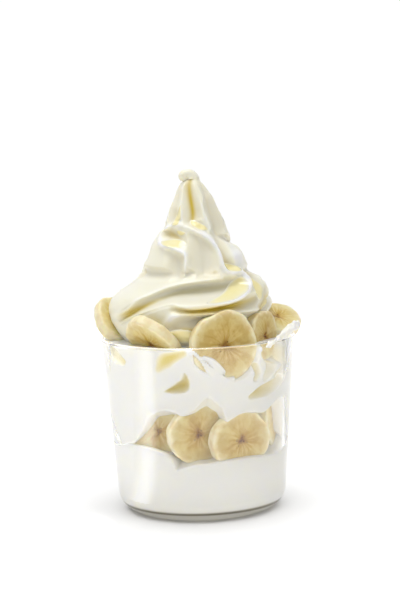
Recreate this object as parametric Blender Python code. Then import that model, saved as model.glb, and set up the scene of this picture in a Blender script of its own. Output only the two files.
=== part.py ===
"""Frozen yogurt cup: a clear tumbler filled in layers and topped with a soft-serve swirl.

From the table up: the tumbler, a lower yogurt, a ring of banana slices standing along the glass,
an upper yogurt round and above them, a second ring of slices at the rim, and the swirl.
Metres, +Z up. The origin is the centre of the tumbler's base, and the front is -Y.
An azimuth is in degrees, 0 at the front and +90 at +X.
"""

import math

import bpy
import numpy as np
from mathutils import Vector

MM = 0.001
GAP = 0.3 * MM  # clearance between pieces that touch

# Tumbler
RIM_RADIUS = 44.0 * MM
FOOT_RADIUS = 37.8 * MM  # where the straight wall would meet the table
GLASS_HEIGHT = 79.0 * MM
WALL = 1.8 * MM
FLOOR = 4.2 * MM
OUTER_CORNER = 8.9 * MM
INNER_CORNER = 4.0 * MM
GLASS_SIDES = 48

# Yogurt layers
LOWER_LEVEL = 28.0 * MM  # mean height where the lower yogurt meets the glass
LOWER_WAVE = 2.2 * MM
UPPER_EDGE = 46.5 * MM  # mean height of the upper yogurt's lower edge on the glass
UPPER_WAVE = 2.5 * MM
UPPER_TOP = 77.0 * MM
UPPER_TOP_ROUND = 5.0 * MM  # how far in from the glass the upper yogurt's top is rounded
DIMPLE = 0.6 * MM  # how far the middle of the lower yogurt sinks below its level
LAYER_GAP = 2.6 * MM  # between the lower yogurt's level and the floor of the plug
PLUG_RADIUS = 21.0 * MM  # where the upper yogurt reaches down inside the ring of slices
PLUG_CORNER = 5.0 * MM
ROOF_RISE = 5.0 * MM
EDGE_ROUND = 3.0 * MM
YOGURT_SIDES = 24

# Banana slices
SLICE_THICKNESS = 5.0 * MM
SLICE_SIDES = 14
LOBES = 0.035  # how far the outline swells and sinks, as a part of the radius
# The rounded edge of a slice from back to face: part of the radius, and part of the thickness
SLICE_EDGE = ((0.90, 0.5), (1.0, 0.32), (1.0, -0.32), (0.90, -0.5))

# Each slice: azimuth and distance of its centre, height of its centre, azimuth that its face
# looks to, how far the face tips up, half width and half height (degrees and millimetres).
LOWER_SLICES = [
    (-81, 31.3, 36.0, -64, 0, 12.5, 12.0),
    (-37, 29.6, 39.5, -10, 0, 12.0, 12.5),
    (-2.5, 30.4, 39.3, 18, 0, 13.5, 13.4),
    (30, 33.4, 35.8, 30, 0, 14.5, 12.4),
    (76, 32.0, 40.5, 70, 0, 12.5, 13.0),
]
RIM_SLICES = [
    (-95, 36.3, 85.4, 49, 38, 12.4, 12.0),
    (-33.5, 35.2, 80.8, -47, -40, 14.2, 13.4),
    (17.5, 36.2, 78.7, 20, 2, 15.0, 15.0),
    (57.8, 33.0, 79.8, 56, 3, 10.5, 11.5),
    (98.7, 36.4, 83.4, 43, 56, 13.4, 10.4),
]
ON_THE_RIM = (4,)  # slices that the glass's rim has pressed a notch into, by their place above
RIM_SEED = 20  # sets the outlines of the rim's slices apart from those of the lower ones
# The slices behind: their azimuths, distance, height, half size and tips, which vary by small steps
LOWER_BACK = ((121, 160, 198, 237), 28.0, 38.5, 13.3, (0,))
RIM_BACK = ((135, 173, 211), 30.9, 81.5, 14.2, (-10, 6))
BACK_TURN = 24  # how far each slice behind is turned, so that its edge passes behind the next
SIZE_STEP = 0.5
HEIGHT_STEP = 1.0

# Swirl: half widths of its outline and how far its middle lies to the right, by height
SWIRL_OUTLINE = [
    (77.3, 31.0, -2.0), (82, 33.5, -3.0), (87, 35.5, -3.5), (93, 36.8, -3.2), (98, 35.0, -2.0),
    (102, 30.5, 0.6), (106, 26.3, 1.0), (110, 24.0, -0.4), (116, 21.2, -0.2), (121, 18.2, -1.0),
    (126, 14.9, -0.9), (131, 12.7, 0.0), (137, 10.6, -0.2), (141, 8.8, 0.0), (145, 6.7, -0.6),
    (147.2, 5.2, -0.7), (149.3, 3.2, -0.3),
]
CURL_RADIUS = 2.2 * MM  # the tip bends over on this radius
CURL_TURN = 132
CURL_BALL = 2.5 * MM
CURL_WAIST = 0.4 * MM  # how much slimmer the curl is halfway
SWIRL_COLUMNS = 46
SWIRL_ROWS = 30
CURL_ROWS = 5
CREST_WIDTH = 2.4 * MM  # how quickly a proud ridge falls away on either side
FLUTE_FORM = 1.7  # the hollow of a flute is depth (1 - t**FLUTE_FORM), with t 0 at its bottom, 1 at its edge
RIDGE_REACH = 14 * MM

# Ridges of the swirl in front: azimuth, height and how proud the crest stands (millimetres)
RIDGES = [
    [(-47, 148, 0), (-39, 142.5, 0), (-28, 136, 0.2), (-20, 129.5, 0.8), (-5, 127.8, 1.5),
     (10, 125.8, 2.2), (24, 122.6, 2.4), (30, 118, 2.2), (31, 112, 1.8), (36, 108.6, 1.6),
     (46, 108.9, 1.8), (53, 107.4, 2.4), (51, 104, 2.6), (40, 100.3, 2.4), (29, 97.4, 2.2),
     (12, 95.7, 2.0), (-4, 95.0, 1.6), (-16, 97.2, 1.0), (-29, 95.2, 0.5), (-46, 91.4, 0.3),
     (-74, 85.4, 0)],
    [(-89, 148, 0), (-90, 141, 0), (-75, 134, 0), (-67, 130.5, 0)],
    [(-22, 129.6, 1.0), (-40, 129.6, 1.0), (-53, 128.6, 1.4), (-61, 126.8, 1.6), (-54, 122, 1.8),
     (-44, 120.9, 1.8), (-24, 119.5, 1.8), (-12, 117, 1.6), (-11, 112, 1.0), (-12, 108, 0)],
    [(7, 152, 0), (26, 143, 0.2), (21, 137.5, 0.6), (25, 132, 0.9), (29, 128, 1), (23, 125.4, 0.5)],
    [(56, 147, 0), (70, 141, 0), (82, 135, 0), (84, 129.5, 0), (80, 123.5, 0)],
    [(-80, 87, 0.3), (-53, 93.5, 0.8), (-44, 99, 1.0), (-27, 103.3, 1.0), (-6, 105.5, 1.0), (26, 106.6, 0.6)],
    [(-26, 85.5, 0.4), (-19, 90.2, 1.3), (-13, 92.4, 1.6), (5, 92.9, 1.5), (36, 92.3, 0.9), (55, 92, 0.5),
     (72, 95, 0.8), (77, 99, 1), (77, 103, 1), (74, 106, 0.5), (64, 108, 0)],
]
# Flutes in front, along their bottoms: azimuth, height, depth and greatest half width
FLUTES = [
    [(-66, 149, 0.3, 2), (-64, 144, 0.9, 3), (-61, 139, 1.4, 4), (-54, 134, 1.9, 4.5),
     (-45, 131.2, 1.8, 3.5)],
    [(-30, 150, 0.8, 2), (-12, 141, 2.2, 4), (-4, 135, 2.8, 4.5), (-4, 131, 2.4, 4.5), (4, 129, 1.6, 3.5)],
    [(50, 149, 0.3, 2), (50, 143, 1.4, 4), (50, 136, 2.3, 5.5), (52, 129, 2.7, 6), (48, 125, 2.4, 4.5)],
    [(-57, 126.3, 1.0, 2.5), (-48, 125.4, 2.4, 3.8), (-32, 124, 2.4, 4), (-20, 122.5, 1.4, 4)],
    [(2, 123.5, 1.4, 5), (8, 118, 3.0, 7), (9, 112, 3.4, 7), (9, 109, 3.0, 5.5)],
    [(-32, 117.5, 0.8, 4), (-24, 114, 2.4, 5.5), (-20, 110, 2.8, 5.5)],
    [(40, 123.8, 1.4, 3), (39, 119, 1.8, 3.5), (38, 114, 2.2, 4), (41, 110.8, 2.4, 3.2)],
    [(-110, 107.5, 2.6, 3.5), (-66, 108.4, 2.6, 3.5), (-30, 108.8, 2.2, 3), (0, 109, 1.8, 2.5),
     (20, 108.8, 1.4, 2)],
    [(60, 107.4, 2.0, 3), (78, 107.6, 2.4, 3.5), (110, 107, 2.6, 3.5), (180, 106.5, 2.6, 3.5),
     (250, 107.5, 2.6, 3.5)],
    [(-62, 88.6, 1.2, 2.5), (-53, 91.6, 2.6, 3.5), (-42, 95.4, 3.8, 4.5), (-30, 98.8, 4.8, 5.5),
     (-13, 101.2, 5.6, 7), (8, 102.2, 5.6, 7.5), (28, 102.8, 4.8, 6.5), (42, 103.8, 3.4, 4)],
    [(-16, 94.8, 0.8, 2.5), (-4, 93.9, 2.8, 2.5), (9, 94.2, 3.4, 2.5), (27, 94.9, 3.4, 2.6),
     (44, 96, 3.0, 3.5), (58, 97, 2.4, 3)],
    [(-16, 87, 1.6, 3), (-6, 89.4, 3.2, 4.5), (10, 89.4, 3.4, 4.5), (30, 89, 3.0, 4.5), (50, 88, 2.6, 4)],
    [(61, 96, 2.2, 4), (63, 100, 3.8, 5), (64, 104.4, 3.2, 4)],
    [(-100, 127.4, 1.4, 2.5), (-76, 128.6, 1.4, 2.5)],
    [(36, 126, 1.2, 2.5), (50, 124, 2.2, 3), (70, 122.2, 2.8, 3.2), (90, 121.4, 3.0, 3.2),
     (130, 119, 2.8, 3.5), (180, 114, 2.2, 3.5), (215, 110.5, 1.6, 3)],
]
# One ridge and the flutes beside it, which repeat round the back at BACK_TURNS
BACK_RIDGE = [
    (-20, 147, 0), (-14, 137, 0), (-6, 128, 0.8), (18, 121.5, 1.3), (30, 115, 1.4), (38, 109, 1.4),
    (54, 107, 1.5), (50, 102, 1.5), (28, 97, 1.4), (0, 93.5, 1), (-30, 90, 0.5), (-62, 85, 0),
]
BACK_FLUTES = [
    [(2, 147, 0.8, 3), (8, 137, 1.6, 4.5), (16, 128, 1.8, 5)],
    [(40, 121, 1.4, 4.5), (52, 114, 2.2, 5.5), (58, 109, 2.2, 4)],
    [(40, 104, 2.4, 4), (14, 100.5, 3.4, 6), (-14, 97, 3.2, 6), (-40, 92, 2.2, 4)],
    [(30, 92.5, 3.0, 4), (0, 88, 3.0, 5), (-20, 84, 2.0, 4)],
]
BACK_TURNS = [96, 136, 176, 214]


def clear_scene():
    """Empty the scene, so that only the cup is in it."""
    for old in list(bpy.data.objects):
        bpy.data.objects.remove(old, do_unlink=True)


def material(name, colour, roughness, transmission=0.0, ior=1.45):
    """A Principled material of one colour, for a shiny glass or a matt food."""
    made = bpy.data.materials.new(name)
    made.use_nodes = True
    shader = made.node_tree.nodes["Principled BSDF"]
    shader.inputs["Base Color"].default_value = (*colour, 1.0)
    shader.inputs["Roughness"].default_value = roughness
    shader.inputs["Metallic"].default_value = 0.0
    shader.inputs["Transmission Weight"].default_value = transmission
    shader.inputs["IOR"].default_value = ior
    return made


def direction(azimuth):
    """Horizontal unit vector towards an azimuth in degrees."""
    turn = math.radians(azimuth)
    return Vector((math.sin(turn), -math.cos(turn), 0.0))


def add_object(name, points, faces, finish):
    """A smooth-shaded mesh object from points and faces."""
    mesh = bpy.data.meshes.new(name)
    mesh.from_pydata([tuple(point) for point in points], [], faces)
    mesh.materials.append(finish)
    mesh.shade_smooth()
    mesh.set_sharp_from_angle(angle=math.radians(40))
    made = bpy.data.objects.new(name, mesh)
    bpy.context.scene.collection.objects.link(made)
    return made


def closed_of_rings(name, rings, start, end, finish):
    """A closed skin over rings of points, from the pole at start to the pole at end.

    rings has the shape (rows, columns, 3). Seen from outside with the start below, the columns
    run to the right, so that every face looks outwards.
    """
    rows, columns, _ = rings.shape
    points = [*rings.reshape(-1, 3), start, end]
    first_pole = rows * columns
    faces = []
    for column in range(columns):
        following = (column + 1) % columns
        faces.append((first_pole, following, column))
        for row in range(rows - 1):
            low = row * columns
            high = low + columns
            faces.append((low + column, low + following, high + following, high + column))
        top = (rows - 1) * columns
        faces.append((top + column, top + following, first_pole + 1))
    return add_object(name, points, faces, finish)


def turned(profile, sides):
    """Rings of points from (radius, height) pairs turned round Z."""
    angles = np.arange(sides) * 2 * math.pi / sides
    profile = np.array(profile)
    x = profile[:, :1] * np.sin(angles)
    y = -profile[:, :1] * np.cos(angles)
    z = np.repeat(profile[:, 1:], sides, axis=1)
    return np.stack([x, y, z], axis=2)


def arc(centre, radius, start, end, steps):
    """Points of an arc in the (radius, height) plane, from one angle to another in degrees."""
    angles = [math.radians(start + (end - start) * step / steps) for step in range(steps + 1)]
    return [(centre[0] + radius * math.cos(turn), centre[1] + radius * math.sin(turn)) for turn in angles]


def wall_slope():
    """Degrees by which the tumbler's straight wall leans out from upright."""
    return math.degrees(math.atan2(RIM_RADIUS - FOOT_RADIUS, GLASS_HEIGHT))


def outer_radius(height):
    """Radius of the tumbler's outside at a height, on its straight part."""
    return FOOT_RADIUS + (RIM_RADIUS - FOOT_RADIUS) * height / GLASS_HEIGHT


def inner_radius(height):
    """Radius of the tumbler's inside at a height, on its straight part."""
    return outer_radius(height) - WALL / math.cos(math.radians(wall_slope()))


def corner(radius_at, floor, radius, steps):
    """The rounded corner between a floor and the wall that radius_at describes."""
    slope = math.radians(wall_slope())
    height = floor + radius
    centre = (radius_at(height) - radius / math.cos(slope), height)
    return arc(centre, radius, -90, -math.degrees(slope), steps)


def tumbler(name, finish, grow=0.0):
    """The glass: its outside from the foot to the rounded rim, then its inside down to the floor.

    grow thickens the wall on both sides and over the rim, for a cutter.
    """
    lip = WALL / 2
    middle = (RIM_RADIUS - lip, GLASS_HEIGHT - lip)
    outside = [(radius + grow, height) for radius, height in corner(outer_radius, 0.0, OUTER_CORNER, 4)]
    inside = [(radius - grow, height) for radius, height in corner(inner_radius, FLOOR, INNER_CORNER, 2)]
    rim = arc(middle, lip + grow, -wall_slope(), 180 - wall_slope(), 3)
    rings = turned(outside + rim + inside[::-1], GLASS_SIDES)
    return closed_of_rings(name, rings, (0, 0, 0), (0, 0, FLOOR), finish)


def wavy(azimuths, phase):
    """An uneven wave round the cup, between about -1 and 1."""
    return (
        0.55 * np.sin(np.radians(azimuths) * 2 + phase)
        + 0.35 * np.sin(np.radians(azimuths) * 5 + 2.3 * phase)
        + 0.20 * np.sin(np.radians(azimuths) * 9 + 0.7 * phase)
    )


def lower_yogurt(finish):
    """The bottom layer, which fills the glass up to a wavy level."""
    azimuths = np.arange(YOGURT_SIDES) * 360 / YOGURT_SIDES
    edge = LOWER_LEVEL + LOWER_WAVE * wavy(azimuths, 0.9)
    base = corner(inner_radius, FLOOR, INNER_CORNER, 3)
    profile = [(radius - GAP, height + GAP) for radius, height in base]
    wall = inner_radius(LOWER_LEVEL) - GAP
    profile += [(wall * part, LOWER_LEVEL) for part in (1, 0.73, 0.34)]
    rings = turned(profile, YOGURT_SIDES)
    middle = LOWER_LEVEL - DIMPLE
    rings[-3, :, 2] = edge
    rings[-2, :, 2] = (edge + LOWER_LEVEL) / 2
    rings[-1, :, 2] = middle
    return closed_of_rings("lower_yogurt", rings, (0, 0, FLOOR + GAP), (0, 0, middle), finish)


def upper_yogurt(finish):
    """The top layer: a plug inside the lower ring of slices that widens above them to the glass."""
    azimuths = np.arange(YOGURT_SIDES) * 360 / YOGURT_SIDES
    edge = UPPER_EDGE + UPPER_WAVE * wavy(azimuths, 2.6)
    plug_floor = LOWER_LEVEL + LAYER_GAP
    low_wall = inner_radius(UPPER_EDGE) - GAP
    halfway = (UPPER_EDGE + UPPER_TOP) / 2
    high_wall = inner_radius(UPPER_TOP) - GAP
    profile = [
        (PLUG_RADIUS - PLUG_CORNER, plug_floor),
        (PLUG_RADIUS, plug_floor + PLUG_CORNER / 2),
        (PLUG_RADIUS, UPPER_EDGE),
        (low_wall - 2 * ROOF_RISE, UPPER_EDGE),
        (low_wall - EDGE_ROUND, UPPER_EDGE),
        (low_wall, UPPER_EDGE),
        (inner_radius(halfway) - GAP, halfway),
        (high_wall - 0.25 * UPPER_TOP_ROUND, UPPER_TOP - 0.5 * UPPER_TOP_ROUND),
        (high_wall - UPPER_TOP_ROUND, UPPER_TOP),
        (high_wall / 2, UPPER_TOP),
    ]
    rings = turned(profile, YOGURT_SIDES)
    # Above the slices the underside rises from the glass inwards, and its edge on the glass is rounded.
    rings[3, :, 2] = edge + ROOF_RISE
    rings[4, :, 2] = edge
    rings[5, :, 2] = edge + 0.7 * EDGE_ROUND
    return closed_of_rings("upper_yogurt", rings, (0, 0, plug_floor), (0, 0, UPPER_TOP), finish)


def slice_rings(half_width, half_height, thickness, seed):
    """Rings of a banana slice that lies in the XZ plane and faces -Y, from its back to its face."""
    angles = np.arange(SLICE_SIDES) * 2 * math.pi / SLICE_SIDES
    swell = 1 + LOBES * np.cos(3 * angles + seed) + 0.6 * LOBES * np.cos(5 * angles + 2 * seed)
    rings = []
    for radius, depth in SLICE_EDGE:
        x = -half_width * radius * swell * np.cos(angles)
        z = half_height * radius * swell * np.sin(angles)
        rings.append(np.stack([-x, np.full(SLICE_SIDES, thickness * depth), z], axis=1))
    return np.array(rings)


def banana_slice(name, place, seed, finish, grow=0.0):
    """One slice at its place in a ring; grow makes it larger all round, for a cutter."""
    azimuth, distance, height, facing, tip, half_width, half_height = place
    thickness = SLICE_THICKNESS + 2 * grow
    rings = slice_rings(half_width * MM + grow, half_height * MM + grow, thickness, seed)
    made = closed_of_rings(name, rings, (0, thickness / 2, 0), (0, -thickness / 2, 0), finish)
    made.location = direction(azimuth) * distance * MM + Vector((0, 0, height * MM))
    made.rotation_euler = (-math.radians(tip), 0, math.radians(facing))
    return made


def ring_of_slices(front, azimuths, distance, height, half_size, tips):
    """The places of a ring: those in front, and like ones at azimuths round the back."""
    places = list(front)
    for index, azimuth in enumerate(azimuths):
        size = half_size - SIZE_STEP * (index % 3)
        level = height + HEIGHT_STEP * (index % 2)
        tip = tips[index % len(tips)]
        places.append((azimuth, distance, level, azimuth + BACK_TURN, tip, size, size))
    return places


def smooth_through(points, at):
    """A smooth curve through points (rows), read at positions along their numbering."""
    points = np.array(points, float)
    slopes = np.gradient(points, axis=0)
    index = np.clip(at.astype(int), 0, len(points) - 2)
    part = (at - index)[:, None]
    start, end = points[index], points[index + 1]
    rise = end - start
    return (
        start
        + slopes[index] * part
        + (3 * rise - 2 * slopes[index] - slopes[index + 1]) * part**2
        + (slopes[index] + slopes[index + 1] - 2 * rise) * part**3
    )


def outline_at(heights):
    """Half width and sideways shift of the swirl's outline at heights, by a smooth curve."""
    table = np.array(SWIRL_OUTLINE) * MM
    positions = np.interp(heights, table[:, 0], np.arange(len(table)))
    read = smooth_through(table[:, 1:], np.ravel(positions))
    return read[:, 0].reshape(np.shape(heights)), read[:, 1].reshape(np.shape(heights))


def bare_radius(azimuths, heights):
    """Distance of the swirl's unridged surface from the cup's axis."""
    half_width, shift = outline_at(heights)
    return half_width + shift * np.sin(azimuths)


def on_surface(line):
    """A ridge or flute as points on the unridged surface, with its other values in metres."""
    count = 6 * len(line)
    read = smooth_through(line, np.linspace(0, len(line) - 1, count))
    azimuths, heights = np.radians(read[:, 0]), read[:, 1] * MM
    radius = bare_radius(azimuths, heights)
    points = np.stack([radius * np.sin(azimuths), -radius * np.cos(azimuths), heights], axis=1)
    return points, read[:, 2:] * MM


def nearest_on_line(places, points, values):
    """Distance from each place to a line of points, and the line's values at the nearest one."""
    best = np.full(len(places), RIDGE_REACH)
    value = np.zeros((len(places), values.shape[1]))
    for start, end, first, second in zip(points[:-1], points[1:], values[:-1], values[1:]):
        step = end - start
        along = np.clip((places - start) @ step / (step @ step), 0, 1)[:, None]
        away = np.linalg.norm(places - start - along * step, axis=1)
        nearer = away < best
        best = np.where(nearer, away, best)
        value = np.where(nearer[:, None], first + along * (second - first), value)
    return best, value


def all_round(front, back):
    """The lines in front, and those that repeat round the back at each of its turns."""
    lines = list(front)
    for turn in BACK_TURNS:
        lines += [[(azimuth + turn, *rest) for azimuth, *rest in line] for line in back]
    return lines


def ridged_radius(azimuths, heights):
    """Distance of the swirl's surface from the axis: crests on the ridges, hollows between them."""
    bare = bare_radius(azimuths, heights)
    places = np.stack([bare * np.sin(azimuths), -bare * np.cos(azimuths), heights], axis=2).reshape(-1, 3)
    to_ridge = np.full(len(places), RIDGE_REACH)
    crest = np.zeros(len(places))
    for ridge in all_round(RIDGES, [BACK_RIDGE]):
        away, values = nearest_on_line(places, *on_surface(ridge))
        to_ridge = np.minimum(to_ridge, away)
        crest = np.maximum(crest, values[:, 0] * np.exp(-((away / CREST_WIDTH) ** 2)))
    hollow = np.zeros(len(places))
    for flute in all_round(FLUTES, BACK_FLUTES):
        away, values = nearest_on_line(places, *on_surface(flute))
        edge = np.clip(away + to_ridge, 0.1 * MM, np.maximum(values[:, 1], 0.1 * MM))
        across = np.clip(away / edge, 0, 1)
        hollow = np.maximum(hollow, values[:, 0] * (1 - across**FLUTE_FORM))
    return (bare.ravel() + crest - hollow).reshape(bare.shape)


def softened(grid):
    """A grid that closes round, each value averaged with its neighbours by weights 1, 2, 1 both ways."""
    grid = (np.roll(grid, 1, axis=1) + 2 * grid + np.roll(grid, -1, axis=1)) / 4
    inner = (grid[:-2] + 2 * grid[1:-1] + grid[2:]) / 4
    return np.concatenate([grid[:1], inner, grid[-1:]])


def swirl(finish):
    """The soft serve: its ridged surface from the base to the neck, then the tip that bends over."""
    azimuths = np.arange(SWIRL_COLUMNS) * 2 * math.pi / SWIRL_COLUMNS
    low, high = SWIRL_OUTLINE[0][0] * MM, SWIRL_OUTLINE[-1][0] * MM
    # The surface is worked out on a grid twice as fine and softened, then every second value is kept.
    finer = np.arange(2 * SWIRL_COLUMNS) * math.pi / SWIRL_COLUMNS
    around, up = np.meshgrid(finer, np.linspace(low, high, 2 * SWIRL_ROWS - 1))
    radius = softened(softened(ridged_radius(around, up)))
    rings = np.stack([radius * np.sin(around), -radius * np.cos(around), up], axis=2)[::2, ::2]
    neck, middle = (float(value[0]) for value in outline_at(np.array([high])))
    level = np.stack([0 * azimuths, -np.cos(azimuths), 0 * azimuths], axis=1)
    curl = []
    for part in np.arange(1, CURL_ROWS + 1) / CURL_ROWS:
        bend = math.radians(CURL_TURN) * part
        x = middle - CURL_RADIUS * (1 - math.cos(bend))
        centre = np.array([x, 0, high + CURL_RADIUS * math.sin(bend)])
        across = np.array([math.cos(bend), 0, math.sin(bend)])
        thick = neck + (CURL_BALL - neck) * part - CURL_WAIST * math.sin(math.pi * part)
        curl.append(centre + thick * (np.sin(azimuths)[:, None] * across + level))
    ahead = np.array([-math.sin(bend), 0, math.cos(bend)])
    closing = [centre + (curl[-1] - centre) * 0.72 + ahead * 0.68 * CURL_BALL]
    all_rings = np.concatenate([rings, np.array(curl), np.array(closing)])
    tip = centre + ahead * 0.98 * CURL_BALL
    return closed_of_rings("swirl", all_rings, (0, 0, low), tip, finish)


def cut(piece, cutters):
    """Take slightly larger copies of other pieces out of a piece."""
    for cutter in cutters:
        cutter.hide_render = True
        cutter.display_type = "WIRE"
        boolean = piece.modifiers.new("room for " + cutter.name, "BOOLEAN")
        boolean.operation = "DIFFERENCE"
        boolean.solver = "EXACT"
        boolean.object = cutter


def build():
    """Make every piece of the cup."""
    clear_scene()
    glass = material("clear glass", (0.97, 0.98, 0.98), 0.03, 1.0, 1.5)
    white = material("frozen yogurt", (0.93, 0.92, 0.88), 0.45)
    cream = material("soft serve", (0.93, 0.90, 0.76), 0.38)
    flesh = material("banana flesh", (0.82, 0.68, 0.36), 0.42)
    tumbler("tumbler", glass)
    layer = lower_yogurt(white)
    top_layer = upper_yogurt(white)
    peak = swirl(cream)
    lower = ring_of_slices(LOWER_SLICES, *LOWER_BACK)
    rim = ring_of_slices(RIM_SLICES, *RIM_BACK)
    lower_cutters = []
    for index, place in enumerate(lower):
        banana_slice(f"lower_slice_{index + 1}", place, index, flesh)
        lower_cutters.append(banana_slice(f"lower_room_{index + 1}", place, index, flesh, GAP))
    rim_slices, rim_cutters = [], []
    for index, place in enumerate(rim):
        rim_slices.append(banana_slice(f"rim_slice_{index + 1}", place, index + RIM_SEED, flesh))
        rim_cutters.append(banana_slice(f"rim_room_{index + 1}", place, index + RIM_SEED, flesh, GAP))
    cut(layer, lower_cutters)
    cut(top_layer, lower_cutters + rim_cutters)
    cut(peak, rim_cutters)
    glass_room = tumbler("glass_room", glass, GAP)
    for overhanging in ON_THE_RIM:
        cut(rim_slices[overhanging], [glass_room])


build()
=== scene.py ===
# %% [markdown]
# # A frozen yogurt cup
#
# This lesson dresses a glass of frozen yogurt: clear glass, two layers of thick yogurt, two rings of
# banana slices, a soft-serve swirl and a little honey in its hollows. The frame below is the packed
# model of the cup, which gives every size that has to hold. Everything made here fits that frame.

# %% Load the frame
import math

import bpy
import numpy as np
from mathutils import Matrix, Vector


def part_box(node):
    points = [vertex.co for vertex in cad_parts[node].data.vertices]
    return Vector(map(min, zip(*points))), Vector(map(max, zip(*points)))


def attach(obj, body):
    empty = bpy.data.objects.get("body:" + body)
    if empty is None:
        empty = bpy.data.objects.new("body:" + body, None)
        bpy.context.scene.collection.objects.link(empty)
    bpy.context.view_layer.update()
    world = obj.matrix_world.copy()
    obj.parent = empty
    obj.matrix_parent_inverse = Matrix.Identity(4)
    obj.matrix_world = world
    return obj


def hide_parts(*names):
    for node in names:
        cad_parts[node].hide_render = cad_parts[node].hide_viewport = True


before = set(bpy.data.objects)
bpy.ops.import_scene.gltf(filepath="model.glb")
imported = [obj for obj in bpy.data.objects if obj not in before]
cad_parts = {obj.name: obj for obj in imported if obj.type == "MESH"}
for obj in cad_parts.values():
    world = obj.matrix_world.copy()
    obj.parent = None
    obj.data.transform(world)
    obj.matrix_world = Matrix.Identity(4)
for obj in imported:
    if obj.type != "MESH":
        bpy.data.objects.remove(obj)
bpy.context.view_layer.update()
print("frame:", len(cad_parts), "nodes")

# %% [markdown]
# ## Sizes that everything shares
#
# Lengths are thought of in millimetres, and MM turns them into metres, the unit of the scene.
# The cup stands on its origin, with its front towards -Y. A place on it is told by its azimuth, in
# degrees from the front towards +X, its distance from the axis, and its height.

# %% Shared sizes
MM = 0.001
RIM_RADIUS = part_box("tumbler")[1][0]
GLASS_HEIGHT = 79.0 * MM
FOOT_RADIUS = 37.8 * MM
WALL = 1.8 * MM
FLOOR = 4.2 * MM
OUTER_CORNER = 8.9 * MM
INNER_CORNER = 4.0 * MM
INTO_WALL = 0.25 * MM  # how far the filling reaches into the glass, so that no air gap shows


def outer_radius(height):
    """Outside radius of the straight wall: it grows evenly from the foot to the rim."""
    return FOOT_RADIUS + (RIM_RADIUS - FOOT_RADIUS) * height / GLASS_HEIGHT


LEAN = math.atan2(RIM_RADIUS - FOOT_RADIUS, GLASS_HEIGHT)


def inner_radius(height):
    """Inside radius of the straight wall: the outside less the wall, measured level."""
    return outer_radius(height) - WALL / math.cos(LEAN)


# %% [markdown]
# ## Small helpers
#
# Colours are written as sRGB hex, as a picker shows them, and turned to linear light once. Short
# functions add the shader nodes that are used often. Another makes a mesh from a grid of points: a
# shape here is nearly always a function of two parameters, one that runs round and one that runs along.

# %% Colours and nodes
def linear(code):
    """sRGB hex to linear light: c/12.92 below 0.04045, else ((c + 0.055)/1.055) to the power 2.4."""
    parts = [int(code[i : i + 2], 16) / 255 for i in (1, 3, 5)]
    return (*[c / 12.92 if c <= 0.04045 else ((c + 0.055) / 1.055) ** 2.4 for c in parts], 1.0)


def add(tree, kind, inputs=None, **settings):
    """Add a node: settings are its own options, and inputs gives a socket a value or an output."""
    made = tree.nodes.new(kind)
    for name, value in settings.items():
        setattr(made, name, value)
    for key, value in (inputs or {}).items():
        if isinstance(value, bpy.types.NodeSocket):
            tree.links.new(value, made.inputs[key])
        else:
            made.inputs[key].default_value = value
    return made


def marked(tree, name, output="Fac"):
    """What a mesh says at each of its points under a name."""
    return add(tree, "ShaderNodeAttribute", attribute_name=name).outputs[output]


def eased(tree, value, start, end, to=1.0, **settings):
    """0 where value is at start, to where it is at end, and held beyond both."""
    sockets = {"Value": value, "From Min": start, "From Max": end, "To Max": to}
    return add(tree, "ShaderNodeMapRange", sockets, **settings).outputs["Result"]


def sum_of(tree, first, second):
    """Two numbers added."""
    return add(tree, "ShaderNodeMath", {0: first, 1: second}, operation="ADD").outputs["Value"]


def product(tree, first, second, **settings):
    """Two numbers multiplied."""
    made = add(tree, "ShaderNodeMath", {0: first, 1: second}, operation="MULTIPLY", **settings)
    return made.outputs["Value"]


def moved(tree, place, by):
    """One vector added to another."""
    return add(tree, "ShaderNodeVectorMath", {0: place, 1: by}, operation="ADD").outputs["Vector"]


def scaled(tree, place, by):
    """A vector made longer by a factor."""
    return add(tree, "ShaderNodeVectorMath", {0: place, "Scale": by}, operation="SCALE").outputs["Vector"]


def noise(tree, place, size, detail):
    """Noise with lumps of about a size."""
    return add(tree, "ShaderNodeTexNoise", {"Vector": place, "Scale": 1 / size, "Detail": detail}).outputs


def mixed(tree, factor, first, second, blend_type="MIX"):
    """A colour that a factor turns into another, or multiplies by another."""
    sockets = {"Factor": factor, "A": first, "B": second}
    return add(tree, "ShaderNodeMix", sockets, data_type="RGBA", blend_type=blend_type).outputs["Result"]


def ramped(tree, value, shades):
    """A colour read from shades, which are (position, hex) pairs."""
    made = add(tree, "ShaderNodeValToRGB", {"Fac": value})
    stops = made.color_ramp.elements
    while len(stops) < len(shades):
        stops.new(0.5)
    for stop, (position, code) in zip(stops, shades):
        stop.position, stop.color = position, linear(code)
    return made.outputs["Color"]


def new_material(name):
    """An empty material and its node tree, with only the output node."""
    made = bpy.data.materials.new(name)
    made.use_nodes = True
    made.node_tree.nodes.clear()
    return made, made.node_tree, made.node_tree.nodes.new("ShaderNodeOutputMaterial")


def finished(tree, output, inputs):
    """Give a material its surface: a Principled shader with these inputs."""
    shader = add(tree, "ShaderNodeBsdfPrincipled", inputs)
    tree.links.new(shader.outputs[0], output.inputs["Surface"])


# %% Meshes from grids
def in_scene(name, mesh):
    """An object that shows a mesh."""
    made = bpy.data.objects.new(name, mesh)
    bpy.context.scene.collection.objects.link(made)
    return made


def grid_faces(rows, columns, first=0):
    """Quads between neighbouring rows of a grid whose columns close on themselves."""
    low = first + np.arange(rows - 1)[:, None] * columns + np.arange(columns)
    following = first + np.arange(rows - 1)[:, None] * columns + (np.arange(columns) + 1) % columns
    return np.stack([low, following, following + columns, low + columns], axis=2).reshape(-1, 4)


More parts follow.
